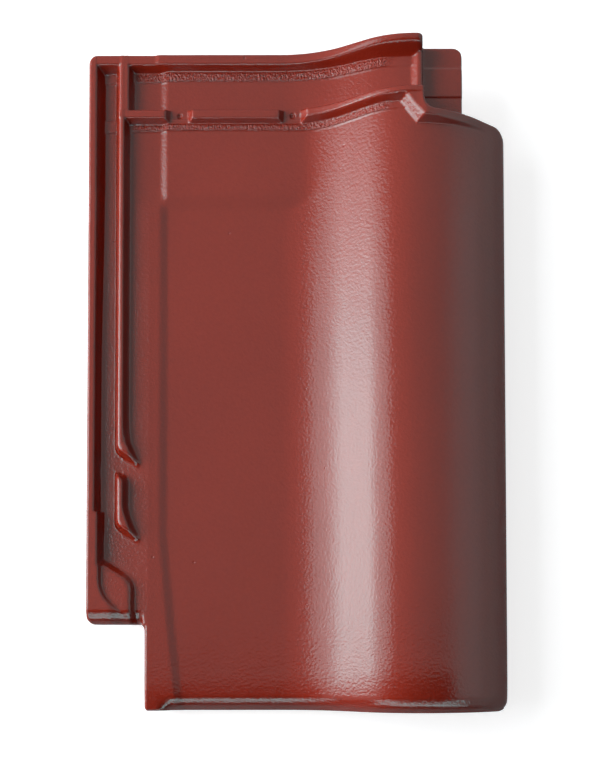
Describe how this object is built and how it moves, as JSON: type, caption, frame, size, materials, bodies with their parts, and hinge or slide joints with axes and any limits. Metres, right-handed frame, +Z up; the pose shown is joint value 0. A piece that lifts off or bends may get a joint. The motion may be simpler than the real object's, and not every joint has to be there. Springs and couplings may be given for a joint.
{
  "type": "interlocking clay roof tile",
  "caption": "Glazed clay pan tile with a flat pan, a rounded roll, a ribbed side lock and a double-ribbed head lock, made to interlock with like tiles on roof battens.",
  "frame": {"origin": "middle of the tile's box, on the floor that it lies on", "axes": "+X across the tile from the side lock to the cover edge, +Y along the tile from the tail to the head, +Z up out of the weather face"},
  "size_m": [0.309, 0.488, 0.072],
  "materials": {
    "glazed_clay": "dark red glaze, satin to glossy, fine orange-peel surface"
  },
  "bodies": {
    "root": {"roof_tile": "glazed_clay"}
  },
  "joints": []
}
